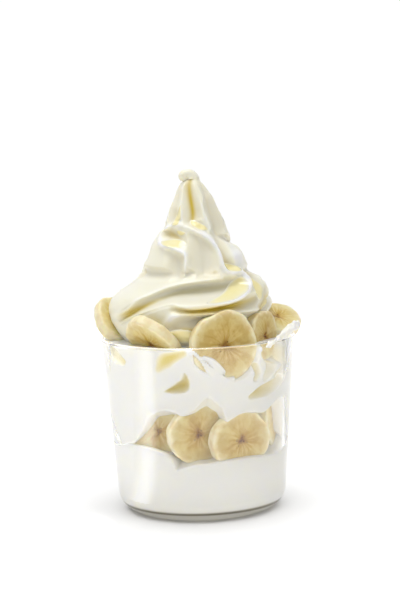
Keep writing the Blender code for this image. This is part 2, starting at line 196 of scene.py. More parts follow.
def closed_mesh(name, rings, start, end, material, values=None):
    """A closed skin over rings of points (rows, columns, 3), from a pole at start to one at end.

    values holds named numbers or vectors for each point of the grid. A pole takes the mean of its ring.
    """
    rows, columns, _ = rings.shape
    points = np.concatenate([rings.reshape(-1, 3), [start, end]])
    around = np.arange(columns)
    beside = (around + 1) % columns
    last = (rows - 1) * columns
    bottom = np.stack([np.full(columns, rows * columns), beside, around], axis=1)
    top = np.stack([last + around, last + beside, np.full(columns, rows * columns + 1)], axis=1)
    mesh = bpy.data.meshes.new(name)
    mesh.from_pydata(points, [], grid_faces(rows, columns).tolist() + bottom.tolist() + top.tolist())
    for key, value in (values or {}).items():
        flat = value.reshape(rows * columns, -1)
        ends = np.stack([flat[:columns].mean(axis=0), flat[last:].mean(axis=0)])
        kind, field = ("FLOAT_VECTOR", "vector") if flat.shape[1] == 3 else ("FLOAT", "value")
        attribute = mesh.attributes.new(key, kind, "POINT")
        attribute.data.foreach_set(field, np.concatenate([flat, ends]).ravel())
    mesh.materials.append(material)
    mesh.shade_smooth()
    print(f"{name}: {len(mesh.polygons)} faces")
    return in_scene(name, mesh)


def turned(profile, columns):
    """Rings made by turning (radius, height) pairs round Z: (r sin a, -r cos a, z)."""
    angles = np.arange(columns) * 2 * math.pi / columns
    profile = np.array(profile)
    x = profile[:, :1] * np.sin(angles)
    y = -profile[:, :1] * np.cos(angles)
    return np.stack([x, y, np.repeat(profile[:, 1:], columns, axis=1)], axis=2)


def arc(centre, radius, start, end, steps):
    """Points on an arc in the (radius, height) plane: centre + radius (cos, sin), in degrees."""
    angles = np.radians(np.linspace(start, end, steps + 1))
    return np.stack([centre[0] + radius * np.cos(angles), centre[1] + radius * np.sin(angles)], axis=1)


def corner(radius_at, floor, radius, steps, shift=0.0):
    """The rounded corner between a floor and a leaning wall, moved outwards by shift."""
    height = floor + radius
    centre = (radius_at(height) - radius / math.cos(LEAN), height)
    return arc(centre, radius + shift, -90, -math.degrees(LEAN), steps)


def smooth_through(points, at):
    """A smooth curve through rows of points, read at positions along their numbering (Hermite)."""
    points = np.asarray(points, float)
    slopes = np.gradient(points, axis=0)
    index = np.clip(at.astype(int), 0, len(points) - 2)
    part = (at - index)[:, None]
    start, end = points[index], points[index + 1]
    rise = end - start
    return (
        start
        + slopes[index] * part
        + (3 * rise - 2 * slopes[index] - slopes[index + 1]) * part**2
        + (slopes[index] + slopes[index + 1] - 2 * rise) * part**3
    )


def round_the_cup(table, azimuths):
    """A height that changes smoothly with azimuth: a curve through (azimuth, value), closed at 360."""
    table = np.array(table, float)
    wrapped = np.concatenate([table[-2:] - [360, 0], table, table[:2] + [360, 0]])
    turn = (azimuths - table[0, 0]) % 360 + table[0, 0]
    position = np.interp(turn, wrapped[:, 0], np.arange(len(wrapped)))
    return smooth_through(wrapped[:, 1:], position.ravel())[:, 0].reshape(azimuths.shape)


# %% [markdown]
# ## Camera, light and table
#
# The cup stands on a plain white table under soft white light, seen from a little above. Soft boxes at
# the left, at the right and above model the swirl. Two more serve only some pieces: an overhead light
# the table, and a low box the white yogurt behind the glass and the honey just behind the rim.

# %% Camera
CAMERA_AIM = Vector((0, 0, 0.050))
CAMERA_DISTANCE = 0.700
CAMERA_RISE = math.radians(10.56)  # how far above the level of its aim the camera stands
CAMERA_TIP = math.radians(3.61)  # how far it is tipped up from its aim
CAMERA_SWING = math.radians(0.121)
CAMERA_ROLL = math.radians(1.74)
SENSOR_WIDTH, FOCAL_LENGTH = 36.0, 91.64  # in millimetres
camera = bpy.data.objects.new("camera", bpy.data.cameras.new("camera"))
bpy.context.scene.collection.objects.link(camera)
away = Vector((0, -math.cos(CAMERA_RISE), math.sin(CAMERA_RISE)))
camera.location = CAMERA_AIM + away * CAMERA_DISTANCE
tipped = Matrix.Rotation(math.pi / 2 - CAMERA_RISE + CAMERA_TIP, 3, "X")
camera.rotation_euler = (
    Matrix.Rotation(-CAMERA_SWING, 3, "Z") @ tipped @ Matrix.Rotation(-CAMERA_ROLL, 3, "Z")
).to_euler()
camera.data.sensor_width = SENSOR_WIDTH
camera.data.lens = FOCAL_LENGTH
bpy.context.scene.camera = camera
bpy.context.scene.view_settings.view_transform = "Standard"
print("camera at", [round(c, 3) for c in camera.location])


# %% Lamps
def soft_box(name, place, aim, width, height, power):
    """A rectangular area light at place, turned to face aim."""
    data = bpy.data.lights.new(name, "AREA")
    data.shape = "RECTANGLE"
    data.size, data.size_y = width, height
    data.energy = power
    lamp = bpy.data.objects.new(name, data)
    lamp.location = place
    lamp.rotation_euler = (Vector(aim) - Vector(place)).to_track_quat("-Z", "Y").to_euler()
    bpy.context.scene.collection.objects.link(lamp)
    return lamp


left_box = soft_box("left softbox", (-0.42, -0.52, 0.74), (0, 0, 0.09), 0.42, 0.55, 1.85)
soft_box("right softbox", (0.75, -0.45, 0.40), (0, 0, 0.04), 0.50, 0.60, 1.25)
top_box = soft_box("top softbox", (-0.15, 0.05, 1.00), (0, 0, 0.05), 0.45, 0.45, 5.2)
overhead = soft_box("overhead light", (0, 0, 1.2), (0, 0, 0), 1.5, 1.5, 27)
low_box = soft_box("low front softbox", (-0.05, -0.9, 0.20), (0, 0, 0.04), 0.9, 0.4, 2.15)

# %% World
# What the camera sees past the cup is pure white; what lights it, after a first soft bounce, is dimmer.
SEEN_STRENGTH, LIGHTING_STRENGTH = 1.02, 0.27
world = bpy.data.worlds.new("white studio")
bpy.context.scene.world = world
world.use_nodes = True
tree = world.node_tree
bounces = add(tree, "ShaderNodeLightPath").outputs["Diffuse Depth"]
strength = add(tree, "ShaderNodeMapRange", {
    "Value": bounces, "To Min": SEEN_STRENGTH, "To Max": LIGHTING_STRENGTH,
})
tree.links.new(strength.outputs["Result"], tree.nodes["Background"].inputs["Strength"])
tree.nodes["Background"].inputs["Color"].default_value = linear("#FFFFFF")

# %% Table
TABLE = 0.6  # half of its side, in metres
HAZE_START, HAZE_END, HAZE_GLOW = 0.12, 0.50, 0.5  # metres from the cup, and the glow at the far one
FOOT_PAINTED_GLOW = 0.145  # for each face of the glass that a ray has passed
white_table, tree, output = new_material("white laminate table")
# White laminate is matt. The light that it throws back on the food is a little warmer than it looks.
seen = add(tree, "ShaderNodeLightPath")
paint = mixed(tree, seen.outputs["Diffuse Depth"], linear("#E4E4E4"), linear("#DAD6CC"))
# Far from the cup the table runs into the white behind it, so no edge shows.
spot = add(tree, "ShaderNodeTexCoord").outputs["Object"]
distance = add(tree, "ShaderNodeVectorMath", {0: spot}, operation="LENGTH").outputs["Value"]
haze = eased(tree, distance, HAZE_START, HAZE_END, HAZE_GLOW)
# Painted light: where the table is seen through the glass foot it glows, more for each face of glass passed,
# for light that runs inside the foot.
foot = product(tree, seen.outputs["Transmission Depth"], FOOT_PAINTED_GLOW, use_clamp=True)
finished(tree, output, {
    "Base Color": paint, "Roughness": 0.6, "Emission Color": linear("#FFFFFF"),
    "Emission Strength": sum_of(tree, haze, foot),
})
table_mesh = bpy.data.meshes.new("table")
corners = [(-TABLE, -TABLE, 0), (TABLE, -TABLE, 0), (TABLE, TABLE, 0), (-TABLE, TABLE, 0)]
table_mesh.from_pydata(corners, [], [(0, 1, 2, 3)])
table_mesh.materials.append(white_table)
table = in_scene("table", table_mesh)

# %% [markdown]
# ### The band of light in the glass
#
# A fan of white card lies on the table at the left. The camera doesn't see it, and it lights nothing:
# it shows only in the glass, as the upright band of light that a window gives. It is brightest along
# its middle, so the band has soft edges.

# %% Reflector
CARD_REACH = (0.05, 0.7)  # where the fan starts and ends, in metres from the axis
CARD_HEIGHT = 1 * MM
CARD_DIM, CARD_RISE = 1.0, 3.0  # its glow along its sides, and how much more there is in its middle
fan = np.linspace(-84, -47, 24)  # azimuths, in degrees
card_points = []
for reach in CARD_REACH:
    for angle in np.radians(fan):
        card_points.append((reach * math.sin(angle), -reach * math.cos(angle), CARD_HEIGHT))
card_mesh = bpy.data.meshes.new("reflector")
near = np.arange(len(fan) - 1)
far = near + len(fan)
card_mesh.from_pydata(card_points, [], np.stack([far, far + 1, near + 1, near], axis=1).tolist())
across = np.linspace(0, 1, len(fan))
brightness = CARD_DIM + CARD_RISE * np.sin(math.pi * across**1.5) ** 1.5
card_mesh.attributes.new("brightness", "FLOAT", "POINT").data.foreach_set("value", np.tile(brightness, 2))
white_card, tree, output = new_material("white card in strong light")
# Lit card glows evenly, so its reflection has no texture of its own.
shine = add(tree, "ShaderNodeEmission", {"Strength": marked(tree, "brightness")})
tree.links.new(shine.outputs[0], output.inputs["Surface"])
card_mesh.materials.append(white_card)
card = in_scene("reflector", card_mesh)
card.visible_camera = False
card.visible_diffuse = False
card.visible_shadow = False

# %% [markdown]
# ## The glass
#
# Clear pressed soda glass: a thin wall with a rounded lip and a floor a little thicker. The frame's
# glass has flat facets, so a smooth turned one stands in for it. Light from the lamps passes it
# unbent, as it nearly does through a thin wall, so that what is inside stays bright.

# %% Clear glass
LIP_PAINTED_GLOW = 0.28
clear_glass, tree, output = new_material("clear soda glass, pressed and fire-polished")
# Glass bends light by an index of 1.5 and shows a pale reflection that grows towards the edges.
# The lip has a painted glow, for light that has run up inside the wall and leaves at the polished lip.
clear = add(tree, "ShaderNodeBsdfPrincipled", {
    "Base Color": linear("#FFFFFF"), "Roughness": 0.02, "IOR": 1.5, "Transmission Weight": 1.0,
    "Emission Color": linear("#FFF8E6"), "Emission Strength": product(tree, marked(tree, "lip"), LIP_PAINTED_GLOW),
})
let_through = add(tree, "ShaderNodeBsdfTransparent", {"Color": linear("#FFFFFF")})
path = add(tree, "ShaderNodeLightPath")
either = add(tree, "ShaderNodeMixShader", {
    0: path.outputs["Is Shadow Ray"], 1: clear.outputs[0], 2: let_through.outputs[0],
})
tree.links.new(either.outputs[0], output.inputs["Surface"])

# %% Turned glass
LIP = WALL / 2
lip_middle = (RIM_RADIUS - LIP, GLASS_HEIGHT - LIP)
profile = np.concatenate([
    corner(outer_radius, 0.0, OUTER_CORNER, 14),
    arc(lip_middle, LIP, -math.degrees(LEAN), 180 - math.degrees(LEAN), 10),
    corner(inner_radius, FLOOR, INNER_CORNER, 10)[::-1],
])
rings = turned(profile, 240)
on_lip = np.zeros(rings.shape[:2])
on_lip[rings[:, 0, 2] > GLASS_HEIGHT - 0.7 * LIP] = 1.0
glass = closed_mesh("glass", rings, (0, 0, 0), (0, 0, FLOOR), clear_glass, {"lip": on_lip})
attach(glass, "root")
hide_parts("tumbler")

# %% [markdown]
# ## Yogurt and soft serve
#
# Both scatter light under their surface, which softens every edge and warms the shadows. A mesh marks
# each of its points with its relief, which sets a painted highlight on crests and painted shade in
# hollows, with how far it lies in painted amber shade at the bottom of a hollow, and with the painted
# dark line at the lower layer's foot.

# %% Yogurt materials
LOWEST, PROUDEST = -6.0, 2.0  # the range of relief, in millimetres, that the painted shades below cover


def creamy(name, shades, deep, glow, roughness):
    """A scattering milk food: painted highlight and shade by relief, painted amber shade where hollow marks
    it, and a painted dark line at the lower layer's foot.
    """
    made, tree, output = new_material(name)
    # Painted light: relief paints crests paler and hollows darker, hollow paints amber shade at the bottoms
    # of flutes and pockets, and the foot mark paints a dark line.
    height = eased(tree, marked(tree, "relief"), LOWEST, PROUDEST)
    shade = ramped(tree, height, [((r - LOWEST) / (PROUDEST - LOWEST), code) for r, code in shades])
    painted_shade_colour = mixed(tree, marked(tree, "hollow"), shade, linear(deep))
    painted_shade_colour = mixed(tree, marked(tree, "seam"), painted_shade_colour, linear("#6E664C"))
    place = add(tree, "ShaderNodeTexCoord").outputs["Object"]
    uneven = add(tree, "ShaderNodeBump", {
        "Height": noise(tree, place, 9 * MM, 2.0)["Fac"], "Strength": 0.15, "Distance": 0.3 * MM,
    })
    finished(tree, output, {
        "Base Color": painted_shade_colour, "Roughness": roughness, "Normal": uneven.outputs["Normal"], "IOR": 1.40,
        "Subsurface Weight": 1.0, "Subsurface Radius": (1.0, 0.95, 0.75), "Subsurface Scale": glow,
    })
    return made


# Soft serve is smooth and cream white. By relief it gets a painted highlight on each crest and a warm painted
# shade in each flute, for light that bounces in it.
PIPED_PAINTED_SHADES = [(-6, "#CBC6A9"), (-3.5, "#E9E6D6"), (-1.5, "#EEEAD7"), (0, "#F3F0DE"), (1.5, "#FFFDF5")]
soft_serve = creamy("soft serve, piped", PIPED_PAINTED_SHADES, "#D8C040", 0.7 * MM, 0.34)
# Yogurt pressed against the glass is flat and white. Where it draws back from it, it gets a creamy painted
# shade.
SPOONED_PAINTED_SHADES = [(-6, "#EEE6C8"), (-1, "#F3F0E4"), (0, "#F8F7F2"), (2, "#FBFAF6")]
thick_yogurt = creamy("thick yogurt, spooned", SPOONED_PAINTED_SHADES, "#DCCB66", 1.0 * MM, 0.42)

# %% [markdown]
# ## The swirl
#
# A star-shaped nozzle gives soft serve its ridges. As the rope is coiled, each ridge runs round the
# coil, turns back on itself and climbs to the next, so the ridges are long wandering lines, and the
# flutes between them are hollow. The shape starts from the plain outline of the heap. Each flute is a
# line along its bottom, and its hollow rises to the nearest ridge. Angles here are in degrees, and the
# other numbers are in millimetres.

# %% Outline, ridges and flutes
OUTLINE = [  # height, half width, how far the middle lies towards +X
    (77.3, 31.0, -2.0), (82, 33.5, -3.0), (87, 35.5, -3.5), (93, 36.8, -3.2), (98, 35.0, -2.0),
    (102, 30.5, 0.6), (106, 26.3, 1.0), (110, 24.0, -0.4), (116, 21.2, -0.2), (121, 18.2, -1.0),
    (126, 14.9, -0.9), (131, 12.7, 0.0), (137, 10.6, -0.2), (141, 8.8, 0.0), (145, 6.7, -0.6),
    (147.2, 5.2, -0.7), (149.3, 3.2, -0.3),
]
CURL_RADIUS = 2.2 * MM
CURL_TURN = 140
CURL_BALL = 2.5 * MM  # radius of the ball that ends the curl
RIDGES = [  # azimuth, height, how far it stands proud
    [(-47, 148, 0), (-39, 142.5, 0), (-28, 136, 0.2), (-25, 132, 0.4), (-20, 129.5, 0.8),
     (-5, 127.8, 1.5), (10, 125.8, 2.2), (24, 122.6, 2.4), (30, 118, 2.2), (31, 112, 1.8),
     (36, 108.6, 1.6), (46, 108.9, 1.8), (53, 107.4, 2.4), (51, 104, 2.6), (40, 100.3, 2.4),
     (29, 97.4, 2.2), (12, 95.7, 2.0), (-4, 95.0, 1.6), (-16, 97.2, 1.0), (-29, 95.2, 0.5),
     (-46, 91.4, 0.3), (-74, 85.4, 0)],
    [(-89, 148, 0), (-90, 141, 0), (-75, 134, 0), (-67, 130.5, 0)],
    [(-22, 129.6, 1.0), (-40, 129.6, 1.0), (-53, 128.6, 1.4), (-61, 126.8, 1.6), (-60, 124.3, 1.8),
     (-54, 122, 1.8), (-44, 120.9, 1.8), (-24, 119.5, 1.8), (-12, 117, 1.6), (-11, 112, 1.0),
     (-12, 108, 0)],
    [(7, 152, 0), (26, 143, 0.2), (21, 137.5, 0.6), (25, 132, 0.9), (29, 128, 1.0), (23, 125.4, 0.5)],
    [(56, 147, 0), (70, 141, 0), (82, 135, 0), (84, 129.5, 0), (80, 123.5, 0)],
    [(-80, 87, 0.3), (-53, 93.5, 0.8), (-44, 99, 1.0), (-27, 103.3, 1.0), (-6, 105.5, 1.0),
     (26, 106.6, 0.6)],
    [(-26, 85.5, 0.4), (-19, 90.2, 1.3), (-13, 92.4, 1.6), (5, 92.9, 1.5), (36, 92.3, 0.9), (55, 92, 0.5),
     (72, 95, 0.8), (77, 99, 1), (77, 103, 1), (74, 106, 0.5), (64, 108, 0)],
]
FLUTES = [  # azimuth, height, depth, greatest half width, depth of painted amber shade
    [(-66, 149, 0.3, 2, 0), (-64, 144, 0.9, 3, 0), (-61, 139, 1.4, 4, 0), (-54, 134, 1.9, 4.5, 0.2),
     (-45, 131.2, 1.8, 3.5, 0.4)],
    [(-30, 150, 0.8, 2, 0.6), (-12, 141, 2.2, 4, 1), (-4, 135, 2.8, 4.5, 1), (-4, 131, 2.4, 4.5, 0.7),
     (4, 129, 1.6, 3.5, 0.5)],
    [(50, 149, 0.3, 2, 0), (50, 143, 1.4, 4, 0), (50, 136, 2.3, 5.5, 0.1), (52, 129, 2.7, 6, 0.1),
     (48, 125, 2.4, 4.5, 0.2)],
    [(-57, 126.3, 1.0, 2.5, 0.2), (-48, 125.4, 2.4, 3.8, 0.6), (-32, 124, 2.4, 4, 0.5),
     (-20, 122.5, 1.4, 4, 0.2)],
    [(2, 123.5, 1.4, 5, 0), (8, 118, 3.0, 7, 0), (9, 112, 3.4, 7, 0), (9, 109, 3.0, 5.5, 0)],
    [(-32, 117.5, 0.8, 4, 0), (-24, 114, 2.4, 5.5, 0), (-20, 110, 2.8, 5.5, 0)],
    [(40, 123.8, 1.4, 3, 0), (39, 119, 1.8, 3.5, 0.1), (38, 114, 2.2, 4, 0.3), (41, 110.8, 2.4, 3.2, 0.8)],
    [(-110, 107.5, 2.6, 3.5, 0), (-66, 108.4, 2.6, 3.5, 0), (-30, 108.8, 2.2, 3, 0), (0, 109, 1.8, 2.5, 0),
     (20, 108.8, 1.4, 2, 0.2)],
    [(60, 107.4, 2.0, 3, 0.6), (78, 107.6, 2.4, 3.5, 0), (110, 107, 2.6, 3.5, 0), (180, 106.5, 2.6, 3.5, 0),
     (250, 107.5, 2.6, 3.5, 0)],
    [(-62, 88.6, 1.2, 2.5, 0.2), (-53, 91.6, 2.6, 3.5, 0.9), (-42, 95.4, 3.8, 4.5, 0.8),
     (-30, 98.8, 4.8, 5.5, 0.3), (-13, 101.2, 5.6, 7, 0.1), (8, 102.2, 5.6, 7.5, 0.1),
     (28, 102.8, 4.8, 6.5, 0.2), (42, 103.8, 3.4, 4, 0.4)],
    [(-16, 94.8, 0.8, 1.6, 0.3), (-4, 93.9, 2.8, 2.2, 0.8), (9, 94.2, 3.4, 2.4, 1), (27, 94.9, 3.4, 2.6, 1),
     (44, 96, 3.0, 3.5, 0.6), (58, 97, 2.4, 3, 0.3)],
    [(-16, 87, 1.6, 3, 0), (-6, 89.4, 3.2, 4.5, 0), (10, 89.4, 3.4, 4.5, 0.1), (30, 89, 3.0, 4.5, 0.2),
     (50, 88, 2.6, 4, 0)],
    [(-15, 85.2, 0.3, 2, 0.4), (-9, 85.0, 0.8, 2.5, 0.9), (-2, 84.6, 0.8, 2.5, 0.9), (5, 84.4, 0.3, 2, 0.4)],
    [(61, 96, 2.2, 4, 0.2), (63, 100, 3.8, 5, 0.3), (64, 104.4, 3.2, 4, 0.3)],
    [(-100, 127.4, 1.4, 2.5, 0), (-76, 128.6, 1.4, 2.5, 0)],
    [(36, 126, 1.2, 2.5, 0), (50, 124, 2.2, 3, 0), (70, 122.2, 2.8, 3.2, 0), (90, 121.4, 3.0, 3.2, 0),
     (130, 119, 2.8, 3.5, 0), (180, 114, 2.2, 3.5, 0), (215, 110.5, 1.6, 3, 0)],
]
# The pattern behind, which is turned about the axis and repeated
BACK_RIDGE = [
    (-20, 147, 0), (-14, 137, 0), (-6, 128, 0.8), (18, 121.5, 1.3), (30, 115, 1.4), (38, 109, 1.4),
    (54, 107, 1.5), (50, 102, 1.5), (28, 97, 1.4), (0, 93.5, 1), (-30, 90, 0.5), (-62, 85, 0),
]
BACK_FLUTES = [
    [(2, 147, 0.8, 3, 0.2), (8, 137, 1.6, 4.5, 0.3), (16, 128, 1.8, 5, 0.3)],
    [(40, 121, 1.4, 4.5, 0), (52, 114, 2.2, 5.5, 0), (58, 109, 2.2, 4, 0.3)],
    [(40, 104, 2.4, 4, 0.4), (14, 100.5, 3.4, 6, 0.2), (-14, 97, 3.2, 6, 0.4), (-40, 92, 2.2, 4, 0.6)],
    [(30, 92.5, 3.0, 4, 0.5), (0, 88, 3.0, 5, 0), (-20, 84, 2.0, 4, 0)],
]


def swung(line, turn):
    """A line of (azimuth, height, ...) turned about the axis."""
    return [(point[0] + turn, *point[1:]) for point in line]


for turn in (96, 136, 176, 214):
    RIDGES.append(swung(BACK_RIDGE, turn))
    FLUTES.extend(swung(line, turn) for line in BACK_FLUTES)
# A lobe that stands out between flutes: azimuth, height, how far it swells, half width
BULGE = [(54, 118.5, 1.0, 4), (57, 115.5, 2.2, 5), (58, 111.5, 1.0, 4)]
print(len(RIDGES), "ridges and", len(FLUTES), "flutes")


# %% Distance to a line on the surface
STEPS_EACH = 8  # how many straight pieces stand for the curve between two points of a line
NARROWEST = 0.1 * MM


def read_line(line):
    """A line's azimuths in radians, its heights in metres and its other values, along a smooth curve."""
    read = smooth_through(line, np.linspace(0, len(line) - 1, STEPS_EACH * (len(line) - 1) + 1))
    return np.radians(read[:, 0]), read[:, 1] * MM, read[:, 2:]


def around_axis(radius, azimuths, heights):
    """Points at a radius, azimuth and height: (r sin a, -r cos a, z)."""
    x, y = radius * np.sin(azimuths), -radius * np.cos(azimuths)
    return np.stack(np.broadcast_arrays(x, y, heights), axis=-1)


def outline_at(heights):
    """Half width and sideways shift of the outline at heights."""
    table = np.array(OUTLINE) * MM
    position = np.interp(heights, table[:, 0], np.arange(len(table)))
    read = smooth_through(table[:, 1:], np.ravel(position))
    return read[:, 0].reshape(np.shape(heights)), read[:, 1].reshape(np.shape(heights))


def bare_radius(azimuths, heights):
    """The unridged surface: half width + shift sin(azimuth)."""
    half_width, shift = outline_at(heights)
    return half_width + shift * np.sin(azimuths)


def on_surface(line):
    """A line as points on the unridged surface, with its other values."""
    azimuths, heights, values = read_line(line)
    return around_axis(bare_radius(azimuths, heights), azimuths, heights), values


def nearest_on_line(places, points, values, reach):
    """Distance from each place to a line, and the line's values there; reach caps the distance."""
    away = np.full(len(places), reach)
    value = np.zeros((len(places), values.shape[1]))
    near = np.flatnonzero(
        ((places > points.min(axis=0) - reach) & (places < points.max(axis=0) + reach)).all(axis=1)
    )
    for start, end, low, high in zip(points[:-1], points[1:], values[:-1], values[1:]):
        step = end - start
        offset = places[near] - start
        along = np.clip(offset @ step / max(step @ step, 1e-12), 0, 1)
        distance = np.linalg.norm(offset - along[:, None] * step, axis=1)
        closer = distance < away[near]
        chosen = near[closer]
        away[chosen] = distance[closer]
        value[chosen] = low + along[closer, None] * (high - low)
    return away, value


def bell(distance, width):
    """1 on a line, fading to either side of it: e to the power -(distance/width)**2."""
    return np.exp(-((distance / width) ** 2))


def softened(grid):
    """A grid averaged once with its neighbours, with weights 1, 2, 1 round and along."""
    grid = (np.roll(grid, 1, axis=1) + 2 * grid + np.roll(grid, -1, axis=1)) / 4
    return np.concatenate([grid[:1], (grid[:-2] + 2 * grid[1:-1] + grid[2:]) / 4, grid[-1:]])


# %% Swirl surface
columns, rows, curl_rows = ((420, 196, 20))
azimuths = np.arange(columns) * 2 * math.pi / columns
low, high = OUTLINE[0][0] * MM, OUTLINE[-1][0] * MM
around, up = np.meshgrid(azimuths, np.linspace(low, high, rows))
bare = bare_radius(around, up)
places = around_axis(bare, around, up).reshape(-1, 3)
REACH = 14 * MM
CREST = 1.5 * MM  # half width of a ridge's crest, and of the painted amber shade along the bottom of a flute
to_ridge = np.full(len(places), REACH)
proud = np.zeros(len(places))
for ridge in RIDGES:
    distance, value = nearest_on_line(places, *on_surface(ridge), REACH)
    to_ridge = np.minimum(to_ridge, distance)
    proud = np.maximum(proud, value[:, 0] * MM * bell(distance, CREST))
distance, value = nearest_on_line(places, *on_surface(BULGE), REACH)
swelling = value[:, 0] * MM * bell(distance, np.maximum(value[:, 1] * MM, NARROWEST))
hollow = np.zeros(len(places))
colour = np.zeros(len(places))
for flute in FLUTES:
    # Across a flute the hollow is depth (1 - t**1.7), where t runs from 0 at its bottom to 1 at a ridge.
    distance, value = nearest_on_line(places, *on_surface(flute), REACH)
    span = np.minimum(distance + to_ridge, np.maximum(value[:, 1] * MM, NARROWEST))
    across = np.clip(distance / span, 0, 1)
    hollow = np.maximum(hollow, value[:, 0] * MM * (1 - across**1.7))
    # Painted amber shade along the bottom of each flute.
    colour = np.maximum(colour, value[:, 2] * bell(distance, CREST))
swirl_radius = softened((bare.ravel() + proud + swelling - hollow).reshape(bare.shape))
rings = around_axis(swirl_radius, around, up)

# %% Curled tip
# The rope's end thins a little, bends over in an arc of CURL_RADIUS and closes in half a ball.
neck, middle = (value[0] for value in outline_at(np.array([high])))
part = np.arange(1, curl_rows + 1)[:, None] / curl_rows
bend = np.radians(CURL_TURN) * part
thick = neck + (CURL_BALL - neck) * part - 0.4 * MM * np.sin(math.pi * part)
centre = np.stack(
    [middle - CURL_RADIUS * (1 - np.cos(bend)), 0 * bend, high + CURL_RADIUS * np.sin(bend)], axis=2
)
across = np.stack([np.cos(bend), 0 * bend, np.sin(bend)], axis=2)
level = np.stack([0 * azimuths, -np.cos(azimuths), 0 * azimuths], axis=1)
curl = centre + thick[:, :, None] * (across * np.sin(azimuths)[:, None] + level)
ahead = np.array([-math.sin(bend[-1, 0]), 0, math.cos(bend[-1, 0])])
closing = np.radians(np.arange(15, 90, 15))[:, None, None]
ball = centre[-1] + (curl[-1] - centre[-1]) * np.cos(closing) + ahead * CURL_BALL * np.sin(closing)
rings = np.concatenate([rings, curl, ball])
tip = centre[-1, 0] + ahead * CURL_BALL
relief = np.zeros(rings.shape[:2])
relief[:rows] = (swirl_radius - bare) / MM
# The relief sets the painted highlight and shade, and the hollow attribute the painted amber shade.
marks = np.zeros(rings.shape[:2])
marks[:rows] = colour.reshape(rows, columns)
attributes = {"hollow": marks, "relief": relief}
swirl = closed_mesh("soft_serve_swirl", rings, (0, 0, low), tip, soft_serve, attributes)
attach(swirl, "root")
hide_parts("swirl")

# %% [markdown]
# ## Banana slices
#
# Each slice is cut straight across a peeled banana: a slightly lobed disc with crisp but soft edges.
# Its cut faces show a pale outer ring, three faint seed chambers that meet in a brown star, and fine
# rays. The slices stand against the glass, turned and tipped as they were dropped in.

# %% Banana material
banana, tree, output = new_material("ripe banana, freshly cut")
# Cut fruit is moist: light sinks a few millimetres into it, and the wet face shines a little.
spot = add(tree, "ShaderNodeTexCoord").outputs["Object"]
patches = noise(tree, spot, 5 * MM, 3.0)
mottle = noise(tree, spot, 3 * MM, 3.0)["Fac"]
fibre = noise(tree, spot, 0.8 * MM, 2.0)["Fac"]
# ring runs from 0 at the star to 1 at the edge, and wanders a little.
wobble = add(tree, "ShaderNodeMapRange", {"Value": mottle, "To Min": -0.09, "To Max": 0.09}).outputs["Result"]
ring = sum_of(tree, marked(tree, "star"), wobble)
flesh = ramped(tree, ring, [
    (0.0, "#7A5026"), (0.035, "#946A34"), (0.08, "#B48A3C"), (0.20, "#CFAF54"), (0.40, "#DDC678"),
    (0.66, "#E9DB9E"), (0.86, "#EBDFAC"), (0.95, "#F5EBC8"),
])
# The rays are noise that changes with the direction from the star, bent by the patches.
cut = marked(tree, "cut", "Vector")
flat = add(tree, "ShaderNodeVectorMath", {0: cut, 1: (1, 0, 1)}, operation="MULTIPLY").outputs["Vector"]
heading = add(tree, "ShaderNodeVectorMath", {0: flat}, operation="NORMALIZE").outputs["Vector"]
bent = moved(tree, scaled(tree, heading, 3.4), scaled(tree, patches["Color"], 1.6))
rays = noise(tree, moved(tree, bent, scaled(tree, spot, 1 / (14 * MM))), 0.8, 2.0)["Fac"]
petal = eased(tree, rays, 0.42, 0.58)
rayed = mixed(tree, petal, linear("#D0AF56"), linear("#F0E2AC"))
among = product(tree, eased(tree, ring, 0.85, 0.36, 0.50), eased(tree, ring, 0.08, 0.22))
rayed = mixed(tree, among, flesh, rayed)
# Tiny dark seeds lie round the star.
cells = add(tree, "ShaderNodeTexVoronoi", {"Vector": scaled(tree, flat, 9.0), "Scale": 1.0})
specks = cells.outputs["Distance"]
seed_mark = product(tree, eased(tree, specks, 0.26, 0.16), eased(tree, ring, 0.26, 0.16))
seeded = mixed(tree, seed_mark, rayed, linear("#6E4820"))
# Juice has crept into patches of the flesh, which turn clearer and more golden than the rest. A
# soaked slice has more of them and is golden all over but for its rim.
wet = marked(tree, "soaked")
juice = product(tree, sum_of(tree, wet, 0.35), eased(tree, patches["Fac"], 0.46, 0.60, 0.60))
juicy = mixed(tree, juice, seeded, linear("#E0C474"), "MULTIPLY")
inner_juice = product(tree, wet, eased(tree, ring, 0.95, 0.78))
soaked = mixed(tree, inner_juice, juicy, linear("#DCC268"), "MULTIPLY")
rough = add(tree, "ShaderNodeBump", {
    "Height": sum_of(tree, fibre, product(tree, rays, 0.35)), "Strength": 0.5, "Distance": 0.25 * MM,
})
finished(tree, output, {
    "Base Color": soaked, "Roughness": 0.40, "Normal": rough.outputs["Normal"], "IOR": 1.38,
    "Subsurface Weight": 0.7, "Subsurface Radius": (1.0, 0.8, 0.35), "Subsurface Scale": 1.6 * MM,
})

# %% Places of the slices
# In front: azimuth, distance and height of the middle, azimuth that the face looks to, how far the face
# tips up, half width, half height, and how far the slice has soaked.
LOWER_SLICES = [
    (-81, 31.3, 36.0, -64, 0, 12.5, 12.0, 0.1), (-37, 29.6, 39.5, -10, 0, 12.0, 12.5, 0.0),
    (-2.5, 30.4, 39.3, 18, 0, 13.5, 13.4, 0.25), (30, 33.4, 35.8, 30, 0, 14.5, 12.4, 0.3),
    (76, 32.0, 40.5, 70, 0, 12.5, 13.0, 0.1),
]
RIM_SLICES = [
    (-95, 36.3, 85.4, 49, 38, 12.4, 12.0, 0.0), (-33.5, 35.2, 80.8, -47, -40, 14.2, 13.4, 0.1),
    (17.5, 36.2, 78.7, 20, 2, 15.0, 15.0, 0.35), (57.8, 33.0, 79.8, 56, 3, 10.5, 11.5, 0.3),
    (98.7, 36.4, 83.4, 43, 56, 13.4, 10.4, 0.0),
]
